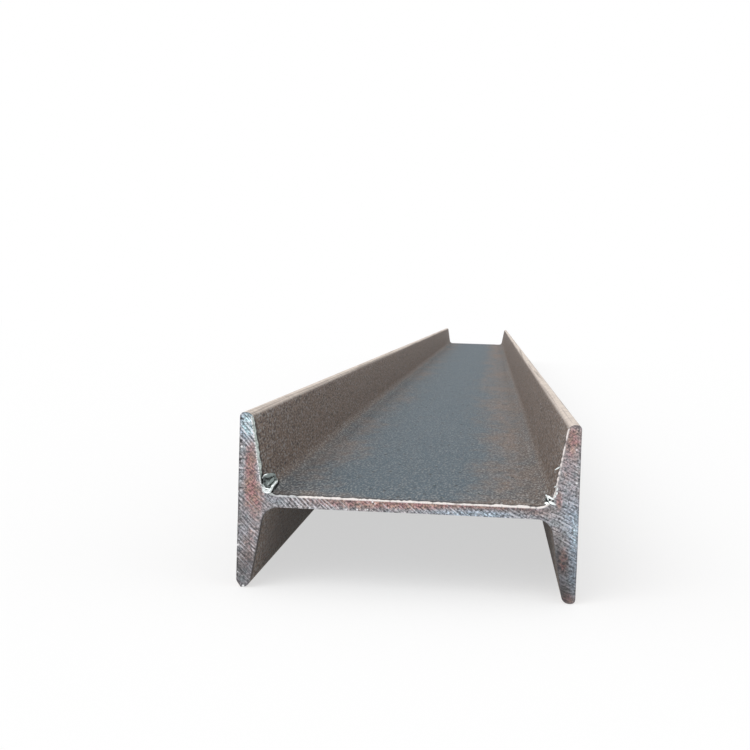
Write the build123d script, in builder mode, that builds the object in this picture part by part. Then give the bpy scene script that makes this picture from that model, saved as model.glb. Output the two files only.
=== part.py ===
"""A hot-rolled steel I-beam with tapered flanges, one piece of stock, lying on its flange toes.

The beam runs along Y, its section depth lies along X and its flange width stands along Z, so the web
is level. The origin is on the floor, under the middle of the beam.
"""

import os
from math import atan, pi, tan

from build123d import *

# Driving dimensions, in millimetres
section_depth = 180.0  # over the outer faces of the two flanges
flange_width = 94.0  # from toe to toe
web_thickness = 6.5
flange_thickness = 10.7  # half way along a leg, between the web's face and the toe
flange_slope = 1 / 6  # how fast the inner face of a flange closes on the outer one
root_radius = 8.5  # hollow corner between web and flange
toe_radius = 4.3  # inner corner of a toe
toe_edge_radius = 2.5  # outer corner of a toe
toe_flat_least = 0.5  # what the two rounded corners leave of a toe's flat edge
beam_length = 3000.0

# Sizes that follow from them
half_depth = section_depth / 2
half_width = flange_width / 2
half_web = web_thickness / 2
leg_length = half_width - half_web
taper_rise = flange_slope * leg_length / 2
toe_thickness = flange_thickness - taper_rise
root_thickness = flange_thickness + taper_rise

# A toe is only so thick, so its outer corner is rounded no further than the inner one leaves room for
slope_angle = atan(flange_slope)
toe_corner_reach = toe_radius * tan(pi / 4 - slope_angle / 2)
toe_edge_room = toe_thickness - toe_corner_reach - toe_flat_least
toe_edge_fillet = min(toe_edge_radius, toe_edge_room)

os.makedirs("parts", exist_ok=True)

# The beam: a quarter of the section, mirrored twice and drawn out to its length
section_plane = Plane(origin=(0, 0, half_width), x_dir=(1, 0, 0), z_dir=(0, -1, 0))

with BuildPart() as i_beam:
    with BuildSketch(section_plane) as section:
        with BuildLine():
            Polyline(
                (0, 0),
                (half_depth, 0),
                (half_depth, half_width),
                (half_depth - toe_thickness, half_width),
                (half_depth - root_thickness, half_web),
                (0, half_web),
                close=True,
            )
        make_face()
        toe_corners = section.vertices().group_by(Axis.Y)[-1].sort_by(Axis.X)
        root_corner = section.vertices().group_by(Axis.Y)[1].sort_by(Axis.X)[-1]
        fillet(root_corner, radius=root_radius)
        fillet(toe_corners[0], radius=toe_radius)
        fillet(toe_corners[-1], radius=toe_edge_fillet)
        mirror(about=Plane.XZ)
        mirror(about=Plane.YZ)
    extrude(amount=beam_length / 2, both=True)

i_beam.part.label = "i_beam"
export_step(i_beam.part, "parts/i_beam.step")
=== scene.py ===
import math
from types import SimpleNamespace

import bpy
import numpy as np
from mathutils import Matrix, Vector
from mathutils.geometry import delaunay_2d_cdt
from mathutils.kdtree import KDTree


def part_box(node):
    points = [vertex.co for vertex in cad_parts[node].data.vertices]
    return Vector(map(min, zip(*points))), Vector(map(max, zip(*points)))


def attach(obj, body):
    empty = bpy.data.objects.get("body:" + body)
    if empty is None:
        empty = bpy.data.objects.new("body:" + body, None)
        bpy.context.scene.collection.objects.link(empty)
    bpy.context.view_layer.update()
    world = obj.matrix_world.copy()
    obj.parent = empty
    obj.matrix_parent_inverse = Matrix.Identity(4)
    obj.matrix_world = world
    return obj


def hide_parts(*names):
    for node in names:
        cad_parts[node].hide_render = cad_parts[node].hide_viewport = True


# The rolled steel I-beam, dressed: a fine mesh of the same section stands for the solid, with sawn ends,
# burrs and slight rolling waves, and swarf hangs in its front corners and lies on its web. Lengths are
# metres in the part's frame, or millimetres where a comment says so. The front end faces -Y.
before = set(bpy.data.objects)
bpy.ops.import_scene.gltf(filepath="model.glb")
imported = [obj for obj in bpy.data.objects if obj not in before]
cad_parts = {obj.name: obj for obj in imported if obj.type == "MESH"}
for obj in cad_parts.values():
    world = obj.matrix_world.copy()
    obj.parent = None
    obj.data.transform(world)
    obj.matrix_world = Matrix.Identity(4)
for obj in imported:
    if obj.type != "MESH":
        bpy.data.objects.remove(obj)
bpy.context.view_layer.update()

MM = 0.001
WHITE = (1, 1, 1, 1)

# The section: its overall sizes come from the frame, the rest are its own
beam_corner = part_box("i_beam")[1]
HALF_DEPTH = beam_corner.x
HALF_LENGTH = beam_corner.y
FLANGE_WIDTH = beam_corner.z
WEB_MIDDLE = FLANGE_WIDTH / 2
HALF_WEB = 3.25 * MM
FLANGE_THICKNESS = 10.7 * MM
FLANGE_SLOPE = 1 / 6
ROOT_RADIUS = 8.5 * MM
TOE_RADIUS = 4.3 * MM
TOE_EDGE_RADIUS = 2.5 * MM

BEAM_LENGTH = 2 * HALF_LENGTH
WEB_TOP = WEB_MIDDLE + HALF_WEB
LEG_LENGTH = WEB_MIDDLE - HALF_WEB
TOE_INNER = HALF_DEPTH - FLANGE_THICKNESS + FLANGE_SLOPE * LEG_LENGTH / 2
ROOT_INNER = HALF_DEPTH - FLANGE_THICKNESS - FLANGE_SLOPE * LEG_LENGTH / 2

# How finely the beam is divided: fine at the sawn ends, coarse along the rest
LINE_STEP = 4.0 * MM
ARC_STEP = 1.3 * MM
FINE_STEP = 0.6 * MM
FRONT_GRID = 0.4 * MM
BACK_GRID = 0.65 * MM
GRID_JITTER = 0.3
GRID_MARGIN = 0.6
FILL_INSIDE = 1
SAME_POINT = 1e-9
END_RINGS = (0.0, 0.3 * MM, 0.8 * MM, 1.8 * MM)
NEAR_STEP = 8.0 * MM
NEAR_REACH = 240.0 * MM
FAR_STEP = 60.0 * MM

# The slight waves that rolling leaves: their depth and their size across, up and along the beam
ROLL_WAVE = 0.25 * MM
WAVE_ACROSS = 25 * MM
WAVE_UP = 16 * MM
WAVE_ALONG = 180 * MM
WAVE_SEED = 11

# The sawn ends: the middle of the round blade that cut them, its distance, and the ridges that it left
SAW_MIDDLE = (280 * MM, 411 * MM)
SAW_RADIUS = 460 * MM
SAW_PITCH = 1.65 * MM
SAW_RUN = 22.0 * MM
SAW_WANDER = 1.2 * MM
SAW_BUNCHING = 0.8
SAW_DEPTH = 0.12 * MM
EDGE_BREAK = 0.15 * MM
OUTER_FACE = HALF_DEPTH - EDGE_BREAK
SKIN_DEPTH = 1.1 * MM
LEFT_SPOTS_REACH = 2.4 * MM
FRONT_SEED = 21
BACK_SEED = 47

# The burr along the cut: how far it stands out and forward and is smeared over the end, the run of its
# shreds and swells and their least height, how far the painted shade behind it reaches, and where it is
# lower or duller
BURR_OUT = 1.15 * MM
BURR_FORWARD = 0.8 * MM
BURR_SMEAR = 1.0 * MM
LEFT_SMEAR = 1.6 * MM
SMEAR_CONTRAST = 2.2
BURR_SHRED = 1.5 * MM
BURR_SWELL = 11 * MM
SWELL_ROW = 7
LEAST_SHRED = 0.25
LEAST_SWELL = 0.5
RIGHT_BURR = 0.55
LEAST_BURR = 0.12
BURR_CONTRAST = 7
BURR_SHADE = 6.0 * MM
DULL_BURR = (-55 * MM, -59 * MM)

# Where the photograph shows thin rust on the front end, paler and bluer steel, darker places and clear
# lines of the saw, in millimetres: x, z, reach in x and z, strength
RUST_PATCHES = (
    (-83.6, 64, 3.4, 15, 0.82), (-81, 48, 6, 9, 0.7), (-81, 32, 3.5, 9, 0.3),
    (-84, 18, 4, 12, 0.3), (-28, 48.3, 30, 3.5, 0.68), (7, 49.0, 22, 3.0, 0.74),
    (44, 49.5, 26, 1.8, 0.65), (68, 47.5, 8, 2.4, 0.3), (79.4, 54.5, 1.8, 5.5, 0.6),
    (85, 86, 5, 9, 0.7), (83, 73, 5, 6, 0.3), (85, 62, 6, 10, 0.2),
    (82.6, 23, 2.6, 6.5, 0.75), (86, 2.5, 4, 3.5, 0.6),
)
PALE_PATCHES = (
    (-85, 88, 6, 9.5, 1.0), (-85, 70, 6, 12, 0.12), (-66, 47.5, 12, 3.4, 0.2),
    (36, 45.2, 30, 2.3, 0.65), (84.5, 72, 2.2, 6, 0.3), (86, 47, 7, 14, 0.45),
    (88.4, 23, 3.2, 22, 0.6),
)
DARK_PATCHES = (
    (-88, 26, 6, 26, 0.36), (-86, 11, 7, 5, 0.5), (-86, 2.5, 7, 4, 0.4),
    (54, 48.6, 30, 2.4, 0.4), (79.8, 27, 1.4, 10, 0.4), (82.6, 22, 2.4, 6, 0.1),
    (83, 12, 9, 22, 0.74), (82.5, 4, 5, 6, 0.42), (-60, 47.5, 18, 4, 0.08),
)
CUT_PATCHES = (
    (85, 46, 10, 13, 0.4), (87, 28, 5, 9, 0.4), (85, 63, 5, 6, 0.4),
    (-85, 24, 8, 20, 0.8), (-85, 86, 6, 10, 0.9), (-56, 47.5, 20, 5, 0.8),
    (4, 46, 40, 4, 0.65), (64, 47, 12, 4, 0.7),
)

# Its bright specks (strength above zero) and dark pits (below), in millimetres: x, z, reach, strength
SPECKS = (
    (87.5, 81.0, 0.4, 0.8), (87.9, 72.4, 0.4, 0.7), (88.0, 69.6, 0.45, 0.9), (88.2, 63.6, 0.55, 1.0),
    (83.4, 83.0, 0.7, -0.8), (81.0, 26.4, 0.8, -1.0), (84.1, 25.1, 0.9, -0.8), (80.8, 22.6, 0.8, -1.0),
    (83.1, 21.4, 0.9, -1.0), (84.9, 21.8, 0.7, -0.8), (81.1, 18.8, 0.9, -1.0), (82.8, 17.0, 0.6, -0.8),
    (-89.0, 78.5, 0.9, -1.0), (-88.6, 75.5, 0.6, 1.0), (-89.2, 1.8, 1.2, -1.0), (-86.0, 0.8, 0.6, 0.9),
    (-63.0, 49.6, 0.7, -0.8), (-62.4, 46.0, 0.7, -0.7), (-59.2, 46.4, 0.6, -0.7), (-55.9, 44.9, 0.5, 0.6),
    (-51.1, 44.6, 0.5, 0.6), (-46.2, 44.6, 0.5, 0.5), (-32.7, 44.7, 0.5, 0.6), (-31.7, 44.4, 0.5, 0.7),
    (-25.9, 44.6, 0.5, 0.8), (-21.5, 44.6, 0.5, 0.6), (-20.4, 44.9, 0.5, 0.7), (-17.9, 49.0, 0.5, 0.9),
    (-16.6, 48.1, 0.45, 0.6),
)

# What makes the marks of the ends: in front these patches, behind loose clouds of a size and strength
END_PATCHES = {
    "rust": RUST_PATCHES, "pale": PALE_PATCHES, "dark": DARK_PATCHES, "cut": CUT_PATCHES, "speck": SPECKS,
}
PATCH_FALL = 1.5
CUT_LEAST = 0.15
BACK_CLOUDS = {"rust": (16 * MM, 1.0), "pale": (12 * MM, 0.6), "dark": (20 * MM, 0.5)}

# The broken corner of the left flange's lower toe, at the front end
CHIP_TOP = 4.2 * MM
CHIP_FOOT = 2.8 * MM
CHIP_REACH = 6.0 * MM

# Swarf is told in millimetres from the front end. The left corner's cupped chip: its rim, its middle, how
# far in (as a share) and back its hollow runs, and the shine of its lip and its hollow at those steps; the
# hollow's low shine is painted shade
CUP_RIM = (
    (-76.9, 59.4), (-75.8, 60.7), (-74.3, 61.6), (-72.1, 62.1), (-70.0, 61.7), (-69.5, 60.0),
    (-68.8, 57.9), (-69.8, 56.1), (-71.3, 54.4), (-71.8, 52.8), (-73.2, 51.8), (-75.1, 51.3),
    (-76.6, 52.5), (-76.3, 55.1), (-76.6, 57.4), (-76.5, 59.8),
)
CUP_MIDDLE = (-72.8, 57.0)
CUP_FRONT = -0.6
CUP_WALL = ((0.0, 0.0), (0.16, -0.4), (0.3, -0.1), (0.46, 0.15), (0.7, 0.3), (0.95, 0.4))
CUP_LIP_SHINE = (1.0, 1.0, 0.75, 0.0, 0.0, 0.0)
CUP_HOLLOW_SHADED_SHINE = (0.0, 0.0, 0.1, 0.13, 0.17, 0.2)
CUP_STEPS = 84
CUP_SEED = 61

# How it is crumpled, in millimetres and in steps round and in, and where its lip has a painted highlight,
# not dim
CUP_CRUMPLE = 0.7
RIM_CRUMPLE = 0.5
CRUMPLE_ROUND = 5
CRUMPLE_IN = 1.6
CUP_FOOT = 55.0
CUP_HIGHLIGHT_SIDE = (-72.5, 59.0)
CUP_DIM = 0.2

# Torn strips: their columns of points, their thickness and bow, and how ragged and blunt they are
RIBBON_COLUMNS = 6
RIBBON_THICKNESS = 0.35
RIBBON_BOW = 0.25
EDGE_LEAST = 0.75
EDGE_RANGE = 0.5
EDGE_LUMP = 3
BLUNT_START = 0.25
BLUNT_END = 0.15
SHARP_ANGLE = math.radians(50)

# How brightly swarf shines, from the black of painted shadow to freshly torn
SHADOW_BLACK = 0.0
DULL = 0.5
RUBBED = 0.8
BRIGHT = 0.9
FRESH = 1.0

# The chips on the web: their places (x, then distance from the front end), half lengths and form
WEB_CHIPS = ((55, 107), (12, 58), (18, 15), (-35, 26), (38, 34))
CHIP_HALF_LENGTH = (0.8, 1.6)
CHIP_ASPECT = 0.6
CHIP_TILT = 0.1
CHIP_LIFT = 0.35
CHIP_BULGE = 0.4
CHIP_ROWS = 8
CHIP_SEED = 83

# Where the rolled faces turn from slate to brown, and how strongly. On the web the slate's blue is partly
# the scale's own tint and partly a painted reflection of sky in shade, and the brown kept low on the left
# is partly painted shade
FLANGE_BROWN = (70 * MM, 77 * MM)
WEB_BROWN_LEFT = (-22 * MM, -64 * MM)
WEB_BROWN_RIGHT = (8 * MM, 64 * MM)
LEFT_BROWN = 0.38
RIGHT_BROWN = 0.62
END_BROWN_REACH = 28 * MM
END_BROWN = 0.3
OUTSIDE_SLATE = 0.5

# Where they are speckled, pitted, darkened with painted shade in the hollow root corners, and rubbed pale
# at the toes, partly as a painted highlight
SPECKLE_GROWS = (22 * MM, 70 * MM)
SPECKLE_REACH = 80 * MM
PIT_SPACING = 6.0 * MM
PIT_REACH = 0.2
PIT_SHARE = 0.6
PIT_STRETCH = 3.0
WEB_EDGE = 60 * MM
CORNER_REACH = 12 * MM
CORNER_END = (86 * MM, 80 * MM)
TOE_RUBBED_AND_HIGHLIT = (WEB_MIDDLE - 2.8 * MM, WEB_MIDDLE - 0.6 * MM)

# Where each stretch of the surface lies on the map that the finish is baked to: left, low, right, high
FRONT_END_PLACE = (0.004, 0.004, 0.604, 0.317)
BACK_END_PLACE = (0.612, 0.004, 0.996, 0.2045)
SIDE_PLACES = ((0.004, 0.326, 0.996, 0.658), (0.004, 0.664, 0.996, 0.996))

# The studio
FLOOR_RADIUS = 40.0
FLOOR_SIDES = 96
FLOOR_DROP = 0.1 * MM
FLOOR_CLEAR = 1.9
FLOOR_WHITE = 5.0
FLOOR_LIFT = 0.6
WORLD_LIGHT = 0.72
KEY_LIGHT = 1.25
KEY_ANGLE = math.radians(50)
KEY_FROM = Vector((-0.45, -0.75, 0.85))

# The camera, as it stood to the front end in the photograph
CAMERA_FROM_END = Vector((40.5 * MM, -635.0 * MM, 152.0 * MM))
CAMERA_YAW = math.radians(-5.32)
CAMERA_PITCH = math.radians(-3.22)
CAMERA_ROLL = math.radians(1.76)
CAMERA_CLIP = 10 * MM
PHOTO_SIZE = 750
FOCAL_PIXELS = 1217.9


def smooth_noise(u, v, seed):
    """Value noise from 0 to 1, with one lump for each unit of u and v."""
    size = 256
    table = np.pad(np.random.default_rng(seed).random((size, size)), (0, 1), mode="wrap")
    column = np.floor(u).astype(int)
    row = np.floor(v).astype(int)
    across = u - column
    along = v - row
    across = across * across * (3 - 2 * across)
    along = along * along * (3 - 2 * along)
    column = column % size
    row = row % size
    near = table[column, row] * (1 - across) + table[column + 1, row] * across
    far = table[column, row + 1] * (1 - across) + table[column + 1, row + 1] * across
    return near * (1 - along) + far * along


# The section's outline
def section_corners():
    """Corners (x, z, radius) of the section, anticlockwise as the front end is seen."""
    upper_right = [
        (HALF_DEPTH, FLANGE_WIDTH, TOE_EDGE_RADIUS),
        (TOE_INNER, FLANGE_WIDTH, TOE_RADIUS),
        (ROOT_INNER, WEB_TOP, ROOT_RADIUS),
    ]
    upper = upper_right + [(-x, z, radius) for x, z, radius in reversed(upper_right)]
    return upper + [(-x, FLANGE_WIDTH - z, radius) for x, z, radius in upper]


def rounded_corner(before, corner, after):
    """A corner's arc as (centre, vector to its start, angle it sweeps)."""
    tip = Vector(corner[:2])
    to_before = (Vector(before[:2]) - tip).normalized()
    to_after = (Vector(after[:2]) - tip).normalized()
    half_angle = to_before.angle(to_after) / 2
    centre = tip + (to_before + to_after).normalized() * corner[2] / math.sin(half_angle)
    start = tip + to_before * corner[2] / math.tan(half_angle) - centre
    end = tip + to_after * corner[2] / math.tan(half_angle) - centre
    return centre, start, -start.angle_signed(end)


def section_outline():
    """Fine points round the section, and which of them the coarse rings keep."""
    corners = section_corners()
    arcs = []
    for i, corner in enumerate(corners):
        arcs.append(rounded_corner(corners[i - 1], corner, corners[(i + 1) % len(corners)]))
    points = []
    kept = []

    def sample(place, length, step):
        """Adds points from place(0) up to, but not at, place(1)."""
        coarse = math.ceil(length / step)
        fine = math.ceil(length / coarse / FINE_STEP)
        for k in range(coarse * fine):
            points.append(place(k / (coarse * fine)))
            kept.append(k % fine == 0)

    for i, (centre, start, sweep) in enumerate(arcs):
        arc_length = start.length * abs(sweep)
        sample(lambda t: centre + Matrix.Rotation(sweep * t, 2) @ start, arc_length, ARC_STEP)
        line_start = centre + Matrix.Rotation(sweep, 2) @ start
        next_centre, next_start, _ = arcs[(i + 1) % len(arcs)]
        line = next_centre + next_start - line_start
        sample(lambda t: line_start + line * t, line.length, LINE_STEP)
    return np.array([tuple(p) for p in points]), np.array(kept)


def outward_normals(points):
    """Unit normals that point out of an anticlockwise outline."""
    tangent = np.roll(points, -1, axis=0) - np.roll(points, 1, axis=0)
    normal = np.column_stack([tangent[:, 1], -tangent[:, 0]])
    return normal / np.linalg.norm(normal, axis=1, keepdims=True)


outline, outline_kept = section_outline()
outline_normals = outward_normals(outline)
outline_steps = np.linalg.norm(np.roll(outline, -1, axis=0) - outline, axis=1)
outline_start = np.concatenate([[0.0], np.cumsum(outline_steps)[:-1]])
perimeter = outline_steps.sum()


# The marks of the sawn ends
def saw_place(x, z, seed):
    """How far each point of an end lies out from the blade's middle and round it, in saw ridges."""
    x = x - SAW_MIDDLE[0]
    z = z - SAW_MIDDLE[1]
    out = np.hypot(x, z)
    around = np.arctan2(z, x) * SAW_RADIUS
    wander = SAW_WANDER * smooth_noise(around / SAW_RUN, out / SAW_RUN, seed)
    bunching = SAW_BUNCHING * smooth_noise(out / (3 * SAW_PITCH), around / (2 * SAW_RUN), seed + 1)
    return (out + wander) / SAW_PITCH + bunching, around / SAW_PITCH


def patch_cover(patches, x, z):
    """The soft sum of a list of patches on the front end."""
    cover = np.zeros_like(x)
    for patch_x, patch_z, *reach, strength in patches:
        far = ((x / MM - patch_x) / reach[0]) ** 2 + ((z / MM - patch_z) / reach[-1]) ** 2
        cover = cover + strength * np.exp(-(far**PATCH_FALL))
    return np.clip(cover, -1, 1)


def end_marks(x, z, facing, seed):
    """The marks of a sawn end, but for its rim and burr: from patches in front, from clouds behind."""
    marks = {}
    if facing < 0:
        for name, patches in END_PATCHES.items():
            marks[name] = patch_cover(patches, x, z)
        marks["cut"] = np.clip(CUT_LEAST + marks["cut"], 0, 1)
    else:
        for number, (name, (size, strength)) in enumerate(BACK_CLOUDS.items(), 3):
            marks[name] = strength * smooth_noise(x / size, z / size, seed + number)
        marks["cut"] = 1 - marks["rust"]
    marks["saw"], marks["sweep"] = saw_place(x, z, seed)
    return marks


def burr_height(seed, channel_side):
    """How far the burr stands out at each outline point, from 0 to 1; it hangs mostly in one channel."""
    row = np.zeros(len(outline))
    shreds = smooth_noise(outline_start / BURR_SHRED, row, seed)
    swell = smooth_noise(outline_start / BURR_SWELL, row + SWELL_ROW, seed)
    x, z = outline.T
    in_channel = (np.abs(x) < TOE_INNER) & ((z - WEB_MIDDLE) * channel_side > 0)
    reach = np.where(in_channel, np.where(x > ROOT_INNER, RIGHT_BURR, 1.0), LEAST_BURR)
    shreds = LEAST_SHRED + (1 - LEAST_SHRED) * shreds
    swell = LEAST_SWELL + (1 - LEAST_SWELL) * swell
    return shreds * swell * reach


def burr_mark(burr):
    """How clearly the burr shows."""
    return np.clip((burr - LEAST_BURR) * BURR_CONTRAST, 0, 1)


# The beam's mesh
def chipped(points, depth):
    """Cuts the broken corner off the left flange's lower toe; depth is the distance from the front end."""
    fade = max(0.0, 1 - depth / CHIP_REACH)
    if fade == 0:
        return points
    top = CHIP_TOP * fade
    foot = CHIP_FOOT * fade
    x = points[:, 0] + HALF_DEPTH
    z = points[:, 1]
    inside = x * top + z * foot - top * foot
    size = math.hypot(top, foot)
    push = np.where((inside < 0) & (x < foot) & (z < top), -inside / size, 0)
    normal = np.array([top, foot]) / size
    return points + push[:, None] * normal


def rolled_ring(depth):
    """The outline with its rolling waves and broken corner, at a distance from the front end."""
    x, z = outline.T
    wave = smooth_noise(x / WAVE_ACROSS + z / WAVE_UP, np.full(len(x), depth / WAVE_ALONG), WAVE_SEED)
    ring = outline - outline_normals * (ROLL_WAVE * wave)[:, None]
    return chipped(ring, depth)


class BeamShell:
    """The beam's vertices, marks, faces and baking places, gathered stretch by stretch."""

    def __init__(self):
        self.points = []
        names = ("burr", "rim", "rust", "pale", "dark", "cut", "speck", "saw", "sweep")
        self.marks = {name: [] for name in names}
        self.faces = []
        self.places = []
        self.sawn = []

    def add_points(self, section, y, **marks):
        """Adds vertices, with the marks that differ from zero, and returns their numbers."""
        first = len(self.points)
        count = len(section)
        x, z = section.T
        self.points.extend(np.column_stack([x, np.broadcast_to(y, count), z]).tolist())
        for name, values in self.marks.items():
            values.extend(np.broadcast_to(marks.get(name, 0.0), count).tolist())
        return np.arange(first, first + count)

    def add_face(self, corners, places, sawn):
        """Adds one face, with its corners' places on the baking map."""
        self.faces.append(tuple(int(c) for c in corners))
        self.places.extend(places)
        self.sawn.append(sawn)

    def stitch(self, near, far, sawn=False):
        """Fills the band between two rings with triangles. A ring is (vertex numbers, outline indices)."""
        near = [*zip(near[0], outline_start[near[1]]), (near[0][0], perimeter)]
        far = [*zip(far[0], outline_start[far[1]]), (far[0][0], perimeter)]
        middle = (self.points[near[0][0]][1] + self.points[far[0][0]][1]) / 2
        a = 0
        b = 0
        while a + b < len(near) + len(far) - 2:
            corners = [near[a], far[b]]
            if b == len(far) - 1 or (a < len(near) - 1 and near[a + 1][1] <= far[b + 1][1]):
                a += 1
                corners.append(near[a])
            else:
                b += 1
                corners.append(far[b])
            places = [side_place(around, self.points[vertex][1], middle) for vertex, around in corners]
            self.add_face([vertex for vertex, _ in corners], places, sawn)


def within(place, across, up):
    """A point of the baking map, by its shares of a place's width and height."""
    left, low, right, high = place
    return left + (right - left) * across, low + (high - low) * up


def side_place(around, y, middle):
    """Where a point of the rolled sides lies on the baking map; each half of the beam has its own strip."""
    half = 0 if middle < 0 else 1
    share = min(max(y / HALF_LENGTH + 1 - half, 0.0), 1.0)
    return within(SIDE_PLACES[half], share, around / perimeter)


def end_grid(spacing, seed):
    """Points inside the section on a jittered grid, their depth inside it and nearest outline points."""
    tree = KDTree(len(outline))
    for i, point in enumerate(outline):
        tree.insert((point[0], point[1], 0), i)
    tree.balance()
    rng = np.random.default_rng(seed)
    rows = np.arange(spacing, FLANGE_WIDTH, spacing * math.sqrt(0.75))
    grid = []
    for number, z in enumerate(rows):
        x = np.arange(-HALF_DEPTH + spacing * (number % 2) / 2, HALF_DEPTH, spacing)
        grid.append(np.column_stack([x, np.full_like(x, z)]))
    grid = np.concatenate(grid)
    grid += (rng.random(grid.shape) - 0.5) * spacing * GRID_JITTER
    nearest = np.array([tree.find((x, z, 0))[1] for x, z in grid])
    inside = -np.sum((grid - outline[nearest]) * outline_normals[nearest], axis=1)
    keep = inside > spacing * GRID_MARGIN
    return grid[keep], inside[keep], nearest[keep]


def add_end(shell, facing, seed):
    """Adds one sawn end, facing -1 (front) or 1 (back), and returns its last fine ring and its border."""
    burr = burr_height(seed, -facing)
    everywhere = np.arange(len(outline))
    rings = []
    for number, depth in enumerate(END_RINGS):
        from_front = depth if facing < 0 else BEAM_LENGTH - depth
        flare = max(0.0, 1 - depth / END_RINGS[2]) ** 2
        out = burr * BURR_OUT * flare
        forward = 0.0
        if number == 0:
            out = out - EDGE_BREAK * (1 - burr)
            forward = burr * BURR_FORWARD
        flat = rolled_ring(from_front) + outline_normals * out[:, None]
        y = facing * (HALF_LENGTH - depth + forward)
        mark = burr_mark(burr) * flare
        numbers = shell.add_points(flat, y, burr=mark, rim=1.0, **end_marks(*flat.T, facing, seed))
        rings.append((numbers, everywhere))
    for outer, inner in zip(rings[:-1], rings[1:]):
        near, far = (outer, inner) if facing < 0 else (inner, outer)
        shell.stitch(near, far, sawn=outer is rings[0])
    border = rings[0][0]
    add_end_face(shell, facing, seed, border, burr)
    return rings[-1], border


def add_end_face(shell, facing, seed, border, burr):
    """Fills a sawn end inside its border, with the saw's ridges as relief."""
    grid, inside, nearest = end_grid(FRONT_GRID if facing < 0 else BACK_GRID, seed)
    x, z = grid.T
    marks = end_marks(x, z, facing, seed)
    ridge = 0.5 - 0.5 * np.sin(2 * math.pi * marks["saw"])
    y = facing * (HALF_LENGTH - SAW_DEPTH * marks["cut"] * ridge)
    smear = np.where(x < -ROOT_INNER, LEFT_SMEAR, BURR_SMEAR)
    mark = burr_mark(burr)[nearest] * np.clip(SMEAR_CONTRAST * (1 - inside / smear), 0, 1)
    rim = np.clip(1 - inside / SKIN_DEPTH, 0, 1)
    numbers = np.concatenate([border, shell.add_points(grid, y, burr=mark, rim=rim, **marks)])
    flat = [Vector((shell.points[n][0], shell.points[n][2])) for n in numbers]
    edges = [(i, (i + 1) % len(border)) for i in range(len(border))]
    _, _, triangles, origins, _, _ = delaunay_2d_cdt(flat, edges, [], FILL_INSIDE, SAME_POINT)
    place = FRONT_END_PLACE if facing < 0 else BACK_END_PLACE
    for triangle in triangles:
        corners = [numbers[origins[corner][0]] for corner in triangle]
        if facing > 0:
            corners.reverse()
        points = [shell.points[corner] for corner in corners]
        places = [within(place, p[0] / HALF_DEPTH / 2 + 0.5, p[2] / FLANGE_WIDTH) for p in points]
        shell.add_face(corners, places, True)


def body_stations():
    """Distances from the front end of the coarse rings along the beam."""
    near = np.arange(END_RINGS[-1] + NEAR_STEP / 3, NEAR_REACH, NEAR_STEP)
    far = np.linspace(NEAR_REACH, HALF_LENGTH, math.ceil((HALF_LENGTH - NEAR_REACH) / FAR_STEP) + 1)
    half = np.concatenate([near, far])
    return np.concatenate([half, BEAM_LENGTH - half[-2::-1]])


def beam_mesh():
    """The whole beam as one closed mesh, with its marks and its baking map."""
    shell = BeamShell()
    previous, front_border = add_end(shell, -1, FRONT_SEED)
    kept = np.flatnonzero(outline_kept)
    for station in body_stations():
        ring = (shell.add_points(rolled_ring(station)[kept], station - HALF_LENGTH), kept)
        shell.stitch(previous, ring)
        previous = ring
    last, back_border = add_end(shell, 1, BACK_SEED)
    shell.stitch(previous, last)

    mesh = bpy.data.meshes.new("beam")
    mesh.from_pydata(shell.points, [], shell.faces)
    for name, values in shell.marks.items():
        mesh.attributes.new(name, "FLOAT", "POINT").data.foreach_set("value", values)
    baking_map = mesh.uv_layers.new(name="OFBake")
    baking_map.uv.foreach_set("vector", np.array(shell.places, np.float32).ravel())
    mesh.polygons.foreach_set("material_index", np.array(shell.sawn, np.int32))
    mesh.shade_smooth()
    ends = np.array([edge.vertices[:] for edge in mesh.edges])
    on_border = np.isin(ends, np.concatenate([front_border, back_border])).all(axis=1)
    mesh.attributes.new("sharp_edge", "BOOLEAN", "EDGE").data.foreach_set("value", on_border)
    mesh.update()
    return mesh


# Swarf
def smooth_path(stops, count):
    """Points of a smooth curve through its stops, evenly shared between them."""
    stops = np.array(stops, float)
    padded = np.concatenate([2 * stops[:1] - stops[1:2], stops, 2 * stops[-1:] - stops[-2:-1]])
    share = np.linspace(0, len(stops) - 1, count)
    first = np.minimum(share.astype(int), len(stops) - 2)
    t = (share - first)[:, None]
    before, start, end, after = (padded[first + k] for k in range(4))
    rise = end - before
    bend = 2 * before - 5 * start + 4 * end - after
    twist = 3 * start - before - 3 * end + after
    return start + (rise * t + bend * t**2 + twist * t**3) / 2


def thin_solid(sheet, shine):
    """Vertices, faces and shine of a closed thin sheet, from its grid of points in millimetres."""
    rows, columns, _ = sheet.shape
    facing = np.cross(np.gradient(sheet, axis=0), np.gradient(sheet, axis=1))
    lift = facing / np.linalg.norm(facing, axis=2, keepdims=True) * RIBBON_THICKNESS / 2
    points = np.concatenate([(sheet + lift).reshape(-1, 3), (sheet - lift).reshape(-1, 3)])
    numbers = np.arange(rows * columns).reshape(rows, columns)
    border = np.concatenate([numbers[0, :-1], numbers[:-1, -1], numbers[-1, :0:-1], numbers[:0:-1, 0]])
    quads = np.stack([numbers[:-1, :-1], numbers[1:, :-1], numbers[1:, 1:], numbers[:-1, 1:]], axis=-1)
    quads = quads.reshape(-1, 4)
    faces = quads.tolist() + (quads[:, ::-1] + numbers.size).tolist()
    for this, following in zip(border, np.roll(border, -1)):
        faces.append([this, following, following + numbers.size, this + numbers.size])
    return points, faces, np.tile(np.broadcast_to(shine, (rows, columns)).ravel(), 2)


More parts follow.
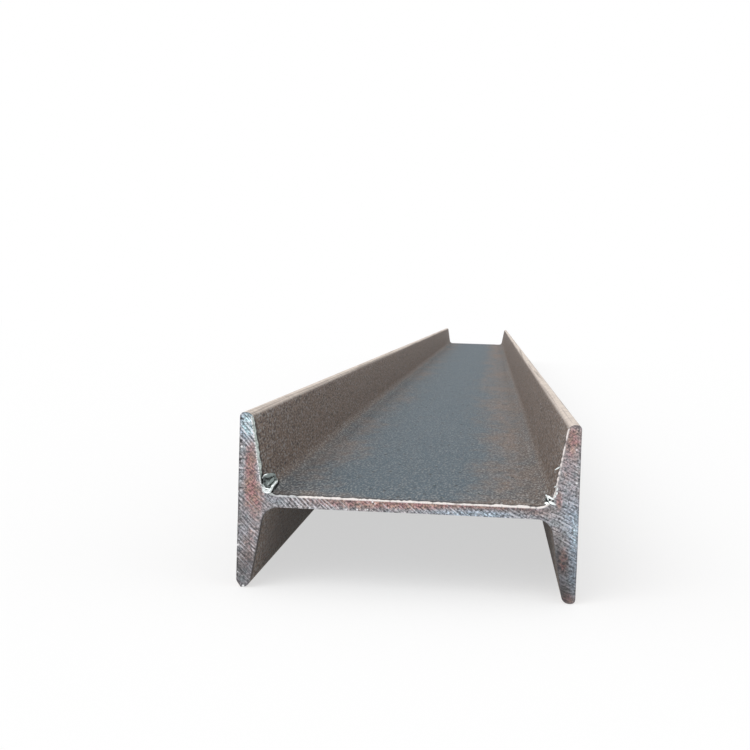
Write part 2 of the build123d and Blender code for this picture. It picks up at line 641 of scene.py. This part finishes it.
def ribbon(stops, across, seed, shine, rows):
    """A narrow torn strip that runs through its stops and tapers to both ends."""
    spine = smooth_path(stops, rows)
    run = np.arange(rows)
    across = np.array(across, float)
    facing = np.cross(np.gradient(spine, axis=0), across)
    facing /= np.linalg.norm(facing, axis=1, keepdims=True)
    edges = [smooth_noise(run / EDGE_LUMP, np.full(rows, edge), seed) for edge in range(2)]
    ragged = EDGE_LEAST + EDGE_RANGE * np.column_stack(edges)
    ragged = ragged * np.sin(np.linspace(BLUNT_START, math.pi - BLUNT_END, rows))[:, None]
    share = np.linspace(-0.5, 0.5, RIBBON_COLUMNS)
    reach = np.where(share < 0, ragged[:, :1], ragged[:, 1:]) * share
    bow = RIBBON_BOW * np.linalg.norm(across) * (share[0] ** 2 - share**2)
    sheet = spine[:, None] + reach[:, :, None] * across + bow[:, None] * facing[:, None]
    return thin_solid(sheet, shine)


def strips(kinds):
    """Torn strips, from rows of paths, reach across, first path's seed, shine and rows of points."""
    solids = []
    for paths, across, seed, shine, rows in kinds:
        for number, stops in enumerate(paths):
            solids.append(ribbon(stops, across, seed + number, shine, rows))
    return solids


def cupped_chip():
    """A chip curled to a shallow crumpled dish, darkened inside with painted shade; its lip has a painted
    highlight at its foot and right.
    """
    rim = smooth_path([(x, CUP_FRONT, z) for x, z in CUP_RIM], CUP_STEPS)
    middle = np.array((CUP_MIDDLE[0], CUP_FRONT, CUP_MIDDLE[1]))
    inward, back = np.array(CUP_WALL).T
    sheet = rim[:, None] + (middle - rim)[:, None] * inward[:, None]
    sheet[:, :, 1] += back
    row, column = np.indices(sheet.shape[:2])
    lumps = [smooth_noise(row / CRUMPLE_ROUND, column / CRUMPLE_IN, CUP_SEED + k) for k in range(3)]
    crumple = CUP_CRUMPLE * (np.stack(lumps, axis=-1) - 0.5)
    sheet = sheet + crumple * np.clip(column, RIM_CRUMPLE, 1)[:, :, None]
    # Painted highlight: the lip is brighter at its foot and right side, and dim elsewhere
    at_foot = np.clip(CUP_FOOT - rim[:, 2], 0, 1)
    at_right = np.clip(rim[:, 0] - CUP_HIGHLIGHT_SIDE[0], 0, 1)
    at_right = at_right * np.clip(CUP_HIGHLIGHT_SIDE[1] - rim[:, 2], 0, 1)
    pale_highlight = CUP_DIM + (1 - CUP_DIM) * np.maximum(at_foot, at_right)
    return thin_solid(sheet, np.maximum(CUP_LIP_SHINE * pale_highlight[:, None], CUP_HOLLOW_SHADED_SHINE))


def swarf_mesh(name, solids):
    """Joins thin solids into one mesh, and carries them from the front end into the frame."""
    points = []
    faces = []
    shine = []
    for solid_points, solid_faces, solid_shine in solids:
        faces.extend([int(corner) + len(points) for corner in face] for face in solid_faces)
        points.extend((solid_points * MM + (0, -HALF_LENGTH, 0)).tolist())
        shine.extend(solid_shine)
    mesh = bpy.data.meshes.new(name)
    mesh.from_pydata(points, [], faces)
    mesh.attributes.new("shine", "FLOAT", "POINT").data.foreach_set("value", shine)
    mesh.shade_smooth()
    mesh.set_sharp_from_angle(angle=SHARP_ANGLE)
    return mesh


def left_chip():
    """The left corner: a cupped chip, near-black strips of painted shadow beside it, a fold in it, and a
    bright foot and lip.
    """
    # Near-black strips that stand for painted shadow beside the chip
    right_painted_shadow = [
        (-68.1, 0.3, 58.9), (-68.5, 0.3, 56.7), (-70.3, 0.3, 54.2), (-71.2, 0.3, 52.4), (-73.0, 0.2, 51.2),
    ]
    left_painted_shadow = [(-77.3, -0.3, 61.6), (-77.1, -0.4, 58.6), (-77.0, -0.4, 55.8)]
    fold = [(-69.9, -0.5, 60.2), (-70.8, -0.8, 59.0), (-72.4, -0.8, 57.4), (-74.0, -0.6, 55.6)]
    foot_loop = [
        (-76.2, -0.9, 55.6), (-75.4, -1.1, 54.1), (-73.8, -1.2, 53.7), (-71.9, -1.1, 53.1),
        (-72.9, -1.2, 51.7), (-75.3, -1.2, 51.9), (-76.7, -1.0, 53.3), (-76.2, -0.8, 54.6),
    ]
    top_lip = [(-76.9, -0.8, 59.2), (-75.9, -0.9, 60.7), (-74.2, -0.8, 61.6)]
    folds = strips([
        ([right_painted_shadow], (1.0, 0.3, -0.7), 62, SHADOW_BLACK, 24),
        ([left_painted_shadow], (1.0, 0.3, 0.0), 63, SHADOW_BLACK, 24),
        ([fold], (1.2, 0.3, -1.05), 64, DULL, 24),
        ([foot_loop], (0.3, 0.35, 0.6), 65, BRIGHT, 48),
        ([top_lip], (0.25, 0.2, 0.5), 66, BRIGHT, 24),
    ])
    return swarf_mesh("swarf_left", [cupped_chip()] + folds)


def right_shaving():
    """The right corner: torn shavings with a near-black strip of painted shadow behind, and beads and
    splinters above them.
    """
    # A near-black strip that stands for painted shadow behind the shavings
    behind = [(72.3, 1.0, 54.2), (74.4, 0.7, 53.8), (76.8, 0.2, 54.0)]
    shavings = [
        [(76.8, -0.8, 54.7), (75.0, -0.5, 55.5), (73.3, -0.1, 56.2), (72.4, 0.1, 57.0)],
        [(73.1, -0.2, 56.3), (73.5, -0.4, 55.2), (74.0, -0.4, 54.1)],
        [(72.1, 0.2, 52.5), (73.2, -0.3, 52.6), (74.4, -0.6, 52.2)],
        [(74.1, -0.6, 53.6), (75.7, -0.9, 52.9), (77.6, -1.2, 52.0)],
    ]
    splinters = [
        [(78.2, -0.4, 62.0), (77.4, 0.1, 61.5), (76.6, 0.5, 61.0)],
        [(79.3, -0.7, 72.1), (78.2, -0.3, 71.2), (76.6, 0.2, 70.1)],
    ]
    beads = []
    for x, z in ((78.2, 60.0), (78.0, 57.9), (77.2, 56.4)):
        beads.append([(x + 0.2, -0.7, z + 0.7), (x, -1.0, z), (x - 0.1, -0.7, z - 0.7)])
    return swarf_mesh("swarf_right", strips([
        ([behind], (0.4, 0.6, 4.2), 70, SHADOW_BLACK, 24),
        (shavings, (0.4, 0.5, 1.1), 71, FRESH, 24),
        (beads, (1.0, 0.4, 0.0), 76, FRESH, 10),
        (splinters, (0.3, 0.3, 0.8), 80, RUBBED, 12),
    ]))


def web_chips():
    """Small chips that lie on the web behind the front edge."""
    rng = np.random.default_rng(CHIP_SEED)
    chips = []
    for x, depth in WEB_CHIPS:
        turn = rng.uniform(0, 2 * math.pi)
        run = np.array((math.cos(turn), math.sin(turn), 0)) * rng.uniform(*CHIP_HALF_LENGTH)
        middle = np.array((x, depth, WEB_TOP / MM + CHIP_LIFT))
        stops = [middle - run, middle + (0, 0, CHIP_BULGE), middle + run]
        across = (-run[1] * CHIP_ASPECT, run[0] * CHIP_ASPECT, CHIP_TILT)
        chips.append(ribbon(stops, across, CHIP_SEED + 1, DULL, CHIP_ROWS))
    return swarf_mesh("swarf_chips", chips)


# Materials
class NodeTree:
    """Short ways to add nodes to a node tree."""

    def __init__(self, tree):
        self.tree = tree

    def put(self, socket, value):
        """Sets a socket to a plain value, or links another socket to it."""
        if isinstance(value, bpy.types.NodeSocket):
            self.tree.links.new(value, socket)
        else:
            socket.default_value = value

    def node(self, kind, inputs, **settings):
        """Adds a shader node with its settings, then fills its inputs by name or number."""
        made = self.tree.nodes.new("ShaderNode" + kind)
        for key, value in settings.items():
            setattr(made, key, value)
        for key, value in inputs.items():
            self.put(made.inputs[key], value)
        return made

    def math(self, operation, first, second=0.0):
        """Arithmetic on one or two values."""
        return self.node("Math", {0: first, 1: second}, operation=operation).outputs[0]

    def times(self, *values):
        """The product of all its values."""
        product = values[0]
        for value in values[1:]:
            product = self.math("MULTIPLY", product, value)
        return product

    def looked_at(self):
        """Whether a ray comes from the camera, straight, off a glossy face or through a clear one."""
        rays = self.node("LightPath", {}).outputs
        direct = self.math("MAXIMUM", rays["Is Camera Ray"], rays["Is Glossy Ray"])
        return self.math("MAXIMUM", direct, rays["Is Transmission Ray"])


class Look(NodeTree):
    """A material in the making, with its shader, noises and blends."""

    def __init__(self, name):
        self.material = bpy.data.materials.new(name)
        self.material.use_nodes = True
        super().__init__(self.material.node_tree)
        self.shader = self.tree.nodes["Principled BSDF"]

    def set(self, **inputs):
        """Fills the shader's inputs; an underscore in a name stands for a space."""
        for key, value in inputs.items():
            self.put(self.shader.inputs[key.replace("_", " ")], value)

    def place(self):
        """The surface's place in the frame, in metres."""
        return self.node("TexCoord", {}).outputs["Object"]

    def parts(self, place):
        """The X, Y and Z of a place."""
        return self.node("SeparateXYZ", {0: place}).outputs

    def mark(self, name):
        """One of the mesh's marks."""
        return self.node("Attribute", {}, attribute_name=name).outputs["Fac"]

    def stretched(self, place, scale):
        """A place scaled along X, Y and Z."""
        return self.node("Mapping", {"Vector": place, "Scale": scale}).outputs[0]

    def lumps(self, place, size, detail=2.0, roughness=0.5):
        """Noise whose lumps have one size, or sizes along X, Y and Z."""
        vector = self.stretched(place, [1 / s for s in np.broadcast_to(size, 3)])
        inputs = {"Vector": vector, "Scale": 1.0, "Detail": detail, "Roughness": roughness}
        return self.node("TexNoise", inputs).outputs[0]

    def drawn(self, length, width):
        """Noise drawn out along the saw's arcs; its length and width are counted in ridges."""
        along = self.math("DIVIDE", self.mark("sweep"), length)
        across = self.math("DIVIDE", self.mark("saw"), width)
        vector = self.node("CombineXYZ", {0: along, 1: across}).outputs[0]
        return self.node("TexNoise", {"Vector": vector, "Scale": 1.0}).outputs[0]

    def flecks(self, place, spacing, reach, share):
        """Scattered dots: one in each cell of the spacing, reach cells wide, in a share of the cells."""
        cells = self.node("TexVoronoi", {"Vector": place, "Scale": 1 / spacing})
        chosen = self.node("SeparateColor", {0: cells.outputs["Color"]}).outputs[0]
        dot = self.remap(cells.outputs["Distance"], reach, reach / 2)
        return self.times(dot, self.math("LESS_THAN", chosen, share))

    def remap(self, value, low, high, to_low=0.0, to_high=1.0):
        """Carries low..high to to_low..to_high smoothly, and stops there."""
        inputs = {"Value": value, "From Min": low, "From Max": high, "To Min": to_low, "To Max": to_high}
        return self.node("MapRange", inputs, interpolation_type="SMOOTHSTEP").outputs[0]

    def mix(self, factor, first, second):
        """Blends two colours."""
        return self.node("Mix", {0: factor, 6: first, 7: second}, data_type="RGBA").outputs[2]

    def scaled(self, colour, factor):
        """A colour made brighter or darker by a factor."""
        inputs = {"Vector": colour, "Scale": factor}
        return self.node("VectorMath", inputs, operation="SCALE").outputs["Vector"]

    def bump(self, height, strength, distance):
        """A normal that follows a height."""
        inputs = {"Height": height, "Strength": strength, "Distance": distance}
        return self.node("Bump", inputs).outputs[0]


def paint(red, green, blue):
    """A colour as it shows on a screen, 0 to 255, in the scene's linear light."""
    shares = (red / 255, green / 255, blue / 255)
    linear = [s / 12.92 if s <= 0.04045 else ((s + 0.055) / 1.055) ** 2.4 for s in shares]
    return (*linear, 1.0)


# Mill scale, on the rolled faces
def slate_and_brown(look, at, noise):
    """Slate scale on the web, partly a painted reflection of sky, brown rust on the flanges and near the
    ends, painted shade in the root corners.
    """
    tone = look.remap(noise.mottle, 0.35, 0.65)
    # The slate's blue is partly a painted reflection of sky; the weaker brown on the web's left is partly
    # painted shade
    slate = look.mix(tone, paint(70, 89, 101), paint(83, 100, 110))
    brown = look.mix(tone, paint(116, 97, 85), paint(135, 115, 101))
    on_flange = look.remap(at.side, *FLANGE_BROWN)
    on_left = look.remap(at.across, *WEB_BROWN_LEFT, 0.0, LEFT_BROWN)
    on_right = look.remap(at.across, *WEB_BROWN_RIGHT, 0.0, RIGHT_BROWN)
    on_web = look.math("MAXIMUM", on_left, on_right)
    on_outside = look.remap(at.side, TOE_INNER, OUTER_FACE, 0.0, OUTSIDE_SLATE)
    near_end = look.remap(at.from_end, END_BROWN_REACH, 0.0, 0.0, END_BROWN)
    browned = look.math("ADD", look.math("MAXIMUM", on_flange, on_web), near_end)
    browned = look.math("SUBTRACT", browned, on_outside)
    browned = look.math("ADD", browned, look.remap(noise.clouds, 0.3, 0.7, -0.16, 0.16))
    browned = look.math("ADD", browned, look.remap(noise.patches, 0.3, 0.7, -0.14, 0.14))
    colour = look.mix(look.remap(browned, 0.1, 0.9), slate, brown)
    colour = look.mix(look.remap(noise.patches, 0.60, 0.75, 0, 0.15), colour, paint(120, 92, 75))
    colour = look.mix(look.remap(noise.streaks, 0.58, 0.75, 0, 0.25), colour, paint(84, 80, 78))
    # Painted shade: darker in the hollow root corners between the web and the flanges
    from_web = look.remap(at.side, WEB_EDGE, ROOT_INNER)
    to_flange = look.remap(at.side, *CORNER_END)
    corner_painted_shade = look.times(from_web, to_flange, look.remap(at.off_middle, CORNER_REACH, HALF_WEB), 0.5)
    return look.mix(corner_painted_shade, colour, paint(70, 64, 60))


def light_and_dark_speckle(look, at, noise, colour):
    """Fine speckle: more towards the flanges and the ends, less on the flanges' outer faces."""
    speckled = look.times(
        look.remap(at.side, *SPECKLE_GROWS, 0.58, 0.9),
        look.remap(at.from_end, 0.0, SPECKLE_REACH, 1.25, 0.95),
        look.remap(at.side, TOE_INNER, OUTER_FACE, 1.0, 0.6),
    )
    light = look.times(look.remap(noise.speckle, 0.50, 0.64), speckled)
    colour = look.mix(light, colour, paint(154, 153, 151))
    dark = look.times(look.remap(noise.speckle, 0.49, 0.34), speckled)
    return look.mix(dark, colour, paint(52, 52, 54))


def shade_and_wear(look, at, noise, colour):
    """Painted shade in a ragged dark band close behind the burrs, between the flanges, and toes rubbed
    pale, partly as a painted highlight.
    """
    # Painted shade: a dark band on the inner faces just behind the burr
    ragged_end = look.math("SUBTRACT", at.from_end, look.times(noise.mottle, BURR_SHADE / 2))
    burr_painted_shade = look.remap(ragged_end, BURR_SHADE, BURR_SHADE / 4, 0.0, 0.8)
    burr_painted_shade = look.times(burr_painted_shade, look.remap(at.side, TOE_INNER, TOE_INNER - BURR_OUT))
    colour = look.mix(burr_painted_shade, colour, paint(40, 36, 34))
    # The pale toes: partly rubbing, partly a painted highlight on their rounded edges
    pale_highlight = look.times(
        look.remap(at.off_middle, *TOE_RUBBED_AND_HIGHLIT),
        look.remap(noise.mottle, 0.3, 0.6, 0.7, 1.0),
        look.remap(noise.streaks, 0.52, 0.64, 1.0, 0.5),
    )
    return look.mix(pale_highlight, colour, paint(226, 213, 202))


def mill_scale():
    """The rolled faces: slate scale turning to brown rust, with speckle, pits, painted shade in the root
    corners and behind the burrs, and pale toes, rubbed and partly a painted highlight.
    """
    look = Look("mill_scale")
    place = look.place()
    x, y, z = look.parts(place)
    at = SimpleNamespace(
        across=x,
        side=look.math("ABSOLUTE", x),
        off_middle=look.math("ABSOLUTE", look.math("SUBTRACT", z, WEB_MIDDLE)),
        from_end=look.math("SUBTRACT", HALF_LENGTH, look.math("ABSOLUTE", y)),
    )
    noise = SimpleNamespace(
        clouds=look.lumps(place, (45 * MM, 150 * MM, 45 * MM), detail=5.0, roughness=0.6),
        patches=look.lumps(place, (8 * MM, 18 * MM, 8 * MM), detail=4.0, roughness=0.65),
        streaks=look.lumps(place, (2.0 * MM, 220 * MM, 2.0 * MM), detail=3.0),
        speckle=look.lumps(place, (1.2 * MM, 4.0 * MM, 1.2 * MM), roughness=0.6),
        mottle=look.lumps(place, (4.0 * MM, 6.0 * MM, 4.0 * MM), detail=3.0, roughness=0.6),
    )
    drawn_out = look.stretched(place, (1.0, 1 / PIT_STRETCH, 1.0))
    pits = look.flecks(drawn_out, PIT_SPACING, PIT_REACH, PIT_SHARE)

    colour = slate_and_brown(look, at, noise)
    colour = light_and_dark_speckle(look, at, noise, colour)
    colour = look.mix(look.times(pits, 0.75), colour, paint(50, 48, 47))
    colour = shade_and_wear(look, at, noise, colour)
    relief = look.math("SUBTRACT", look.math("ADD", noise.speckle, look.times(noise.mottle, 0.5)), pits)
    look.set(
        Base_Color=colour,
        Roughness=look.remap(noise.speckle, 0.3, 0.7, 0.56, 0.76),
        Specular_IOR_Level=0.22,
        Normal=look.bump(relief, 0.5, 0.25 * MM),
    )
    return look.material


# Sawn steel, on the ends
def bare_steel(look, noise):
    """Grey steel in two tints, clouded, with the paler and bluer places."""
    steel = look.mix(look.remap(noise.tints, 0.4, 0.6), paint(140, 145, 149), paint(147, 145, 151))
    steel = look.mix(look.remap(noise.clouds, 0.38, 0.64, 0, 0.6), steel, paint(146, 138, 136))
    pale = look.mark("pale")
    uneven = look.remap(noise.mottle, 0.3, 0.6, 0.6, 1.0)
    cover = look.times(look.remap(pale, 0.0, 1.0, 0.0, 0.95), uneven)
    pale_colour = look.mix(look.remap(pale, 0.5, 1.0), paint(148, 168, 186), paint(174, 199, 207))
    return look.mix(cover, steel, pale_colour)


def saw_lines(look, side, noise, rust, colour):
    """Grain and hair lines, and the saw's grooves and crests where it cut clearly."""
    coarse = look.remap(side, WEB_EDGE, ROOT_INNER, 0.78, 0.62)
    grainy = look.times(look.remap(noise.grain, 0.3, 0.7, -1.0, 1.0), coarse)
    bright = look.times(
        look.math("ADD", grainy, 1.0),
        look.remap(noise.mottle, 0.3, 0.7, 0.84, 1.16),
        look.remap(noise.hairs, 0.3, 0.7, 0.65, 1.35),
    )
    colour = look.scaled(colour, bright)
    wave = look.math("SINE", look.times(look.mark("saw"), 2 * math.pi))
    ridges = look.math("ADD", look.times(wave, 0.7), look.remap(noise.lines, 0.3, 0.7, -1.2, 1.2))
    cut = look.times(
        look.mark("cut"),
        look.remap(rust, 0.2, 0.9, 1.0, 0.6),
        look.remap(noise.breaks, 0.36, 0.58, 0.25, 1.0),
        look.remap(noise.mottle, 0.34, 0.56, 0.45, 1.1),
    )
    grooves = look.times(look.remap(ridges, -0.2, -1.2, 0, 0.75), cut)
    colour = look.mix(grooves, colour, paint(66, 62, 66))
    crests = look.times(look.remap(ridges, 0.35, 1.3, 0, 0.95), cut)
    return look.mix(crests, colour, paint(224, 222, 229))


def skin_and_specks(look, across, side, noise, colour):
    """The dark skin of scale round the rim, and pits and bright specks, most at the left flange's edge."""
    skin = look.times(
        look.mark("rim"),
        look.remap(noise.mottle, 0.3, 0.6, 0.25, 0.6),
        look.remap(side, WEB_EDGE, ROOT_INNER, 0.3, 1.0),
    )
    colour = look.mix(skin, colour, paint(84, 81, 83))
    outer_left = look.remap(across, LEFT_SPOTS_REACH - HALF_DEPTH, LEFT_SPOTS_REACH / 2 - HALF_DEPTH)
    speck = look.times(look.mark("speck"), look.remap(noise.grain, 0.3, 0.5, 0.45, 1.0))
    left_pits = look.times(outer_left, look.remap(noise.mottle, 0.46, 0.36))
    pits = look.math("MAXIMUM", look.remap(speck, 0.0, -0.7), left_pits)
    colour = look.mix(look.times(pits, 0.85), colour, paint(48, 48, 52))
    left_spots = look.times(outer_left, look.remap(noise.mottle, 0.59, 0.68))
    spots = look.math("MAXIMUM", look.remap(speck, 0.0, 0.7), left_spots)
    return look.mix(look.times(spots, 0.85), colour, paint(236, 236, 238))


def bright_burr(look, across, noise, burr, colour):
    """The burr's cover, and the colour with the burr on it: near white, duller and torn at the left."""
    on_left = look.remap(across, -0.9 * ROOT_INNER, -ROOT_INNER)
    on_right = look.remap(across, 0.95 * ROOT_INNER, ROOT_INNER)
    left_colour = look.mix(look.remap(noise.mottle, 0.36, 0.6), paint(124, 132, 128), paint(180, 189, 186))
    burr_colour = look.mix(look.remap(across, *DULL_BURR), paint(248, 242, 239), paint(206, 208, 210))
    burr_colour = look.mix(on_left, burr_colour, left_colour)
    burr_colour = look.mix(on_right, burr_colour, paint(233, 225, 222))
    cover = look.times(burr, look.remap(noise.grain, 0.25, 0.45, 0.55, 1.0))
    colour = look.mix(cover, colour, burr_colour)
    torn = look.times(look.remap(burr, 0.0, 0.3), look.remap(burr, 0.85, 0.5), on_left)
    torn = look.times(torn, look.remap(noise.grain, 0.42, 0.55))
    return cover, look.mix(torn, colour, paint(240, 238, 240))


def sawn_steel():
    """The sawn ends: bare steel with the saw's arcs, thin red-brown rust, specks and a bright burr."""
    look = Look("sawn_steel")
    place = look.place()
    across = look.parts(place)[0]
    side = look.math("ABSOLUTE", across)
    noise = SimpleNamespace(
        clouds=look.lumps(place, (9 * MM, 9 * MM, 6 * MM), detail=4.0, roughness=0.6),
        tints=look.lumps(place, 4 * MM),
        mottle=look.lumps(place, 2.4 * MM, detail=3.0, roughness=0.6),
        grain=look.lumps(place, 1.2 * MM, roughness=0.65),
        lines=look.drawn(6.0, 0.7),
        hairs=look.drawn(4.0, 0.4),
        breaks=look.drawn(3.0, 1.6),
    )
    ragged = look.math("SUBTRACT", noise.mottle, 0.5)
    rust = look.remap(look.math("ADD", look.mark("rust"), ragged), 0.0, 0.9, 0, 0.92)
    rust_colour = look.mix(look.remap(noise.tints, 0.42, 0.58), paint(144, 103, 102), paint(142, 113, 101))
    colour = look.mix(rust, bare_steel(look, noise), rust_colour)
    colour = saw_lines(look, side, noise, rust, colour)
    dark = look.times(look.mark("dark"), look.remap(noise.mottle, 0.3, 0.6, 0.5, 0.8))
    colour = look.scaled(colour, look.math("SUBTRACT", 1.0, dark))
    colour = skin_and_specks(look, across, side, noise, colour)
    burr, colour = bright_burr(look, across, noise, look.mark("burr"), colour)
    relief = look.math("ADD", noise.hairs, look.times(noise.grain, 0.7))
    look.set(
        Base_Color=colour,
        Metallic=look.remap(look.math("MAXIMUM", rust, burr), 0.0, 0.7, 0.5, 0.05),
        Roughness=look.remap(noise.grain, 0.3, 0.7, 0.4, 0.62),
        Normal=look.bump(relief, 0.4, 0.2 * MM),
    )
    return look.material


def fresh_swarf():
    """Swarf: bright where it is torn or rubbed, grey-green inside, near black as painted shadow."""
    look = Look("fresh_swarf")
    place = look.place()
    grain = look.lumps(place, 0.8 * MM)
    dull = look.lumps(place, 2.0 * MM)
    shine = look.math("ADD", look.mark("shine"), look.remap(dull, 0.3, 0.7, -0.15, 0.15))
    # Near black at low shine is painted shadow
    colour = look.mix(look.remap(shine, 0.0, 0.35), paint(12, 13, 13), paint(126, 136, 134))
    colour = look.mix(look.remap(shine, 0.45, 0.9), colour, paint(230, 236, 236))
    colour = look.mix(look.remap(grain, 0.46, 0.30, 0, 0.35), colour, paint(84, 92, 90))
    # Rougher where the swarf is near black as painted shadow
    rough_in_shadow = look.remap(shine, 0.35, 0.0, 0.0, 0.45)
    look.set(
        Base_Color=colour,
        Metallic=look.remap(shine, 0.0, 0.8, 0.1, 0.5),
        Specular_IOR_Level=0.25,
        Roughness=look.math("ADD", look.remap(grain, 0.3, 0.7, 0.24, 0.45), rough_in_shadow),
        Normal=look.bump(grain, 0.4, 0.1 * MM),
    )
    return look.material


def studio_floor():
    """A pale floor that keeps the shadow near the beam and turns to plain white far away."""
    look = Look("studio_floor")
    look.set(Base_Color=WHITE, Roughness=0.9, Specular_IOR_Level=0.0)
    away = look.node("VectorMath", {0: look.place()}, operation="LENGTH").outputs["Value"]
    far = look.times(look.remap(away, FLOOR_CLEAR, FLOOR_WHITE, FLOOR_LIFT, 1.0), look.looked_at())
    white = look.node("Emission", {"Color": WHITE})
    blend = look.node("MixShader", {0: far, 1: look.shader.outputs[0], 2: white.outputs[0]})
    look.put(look.tree.nodes["Material Output"].inputs["Surface"], blend.outputs[0])
    return look.material


# What goes into the scene
def add_object(name, data):
    """Puts a new object into the scene."""
    made = bpy.data.objects.new(name, data)
    bpy.context.scene.collection.objects.link(made)
    return made


def add_piece(name, mesh, *materials):
    """Puts a mesh in the scene as a piece that rides with the beam."""
    for material in materials:
        mesh.materials.append(material)
    piece = add_object(name, mesh)
    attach(piece, "root")
    return piece


def add_floor():
    """A wide disc under the beam."""
    mesh = bpy.data.meshes.new("floor")
    turns = np.linspace(0, 2 * math.pi, FLOOR_SIDES, endpoint=False)
    rim = [(FLOOR_RADIUS * math.cos(t), FLOOR_RADIUS * math.sin(t), -FLOOR_DROP) for t in turns]
    mesh.from_pydata(rim, [], [range(len(rim))])
    mesh.materials.append(studio_floor())
    floor = add_object("floor", mesh)


def add_world():
    """Even white light from all round, and a white backdrop to look at."""
    world = bpy.data.worlds.new("studio")
    bpy.context.scene.world = world
    world.use_nodes = True
    sky = NodeTree(world.node_tree)
    lit = sky.tree.nodes["Background"]
    sky.put(lit.inputs["Color"], WHITE)
    sky.put(lit.inputs["Strength"], WORLD_LIGHT)
    shown = sky.node("Background", {"Color": WHITE})
    blend = sky.node("MixShader", {0: sky.looked_at(), 1: lit.outputs[0], 2: shown.outputs[0]})
    sky.put(sky.tree.nodes["World Output"].inputs["Surface"], blend.outputs[0])


def add_key():
    """A soft key light from the front."""
    key = bpy.data.lights.new("key", "SUN")
    key.energy = KEY_LIGHT
    key.angle = KEY_ANGLE
    lamp = add_object("key", key)
    lamp.rotation_euler = KEY_FROM.to_track_quat("Z", "Y").to_euler()


def add_camera():
    """The photograph's camera: its place before the front end, its turn and its lens."""
    data = bpy.data.cameras.new("camera")
    data.lens = data.sensor_width * FOCAL_PIXELS / PHOTO_SIZE
    data.clip_start = CAMERA_CLIP
    camera = add_object("camera", data)
    spot = Vector((0, -HALF_LENGTH, 0)) + CAMERA_FROM_END
    yaw = Matrix.Rotation(-CAMERA_YAW, 4, "Z")
    pitch = Matrix.Rotation(CAMERA_PITCH + math.pi / 2, 4, "X")
    roll = Matrix.Rotation(CAMERA_ROLL, 4, "Z")
    camera.matrix_world = Matrix.Translation(spot) @ yaw @ pitch @ roll
    bpy.context.scene.camera = camera


beam = add_piece("beam", beam_mesh(), mill_scale(), sawn_steel())
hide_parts("i_beam")

swarf = fresh_swarf()
for swarf_piece in (left_chip(), right_shaving(), web_chips()):
    add_piece(swarf_piece.name, swarf_piece, swarf)

add_floor()
add_world()
add_key()
add_camera()
bpy.context.scene.view_settings.view_transform = "Standard"
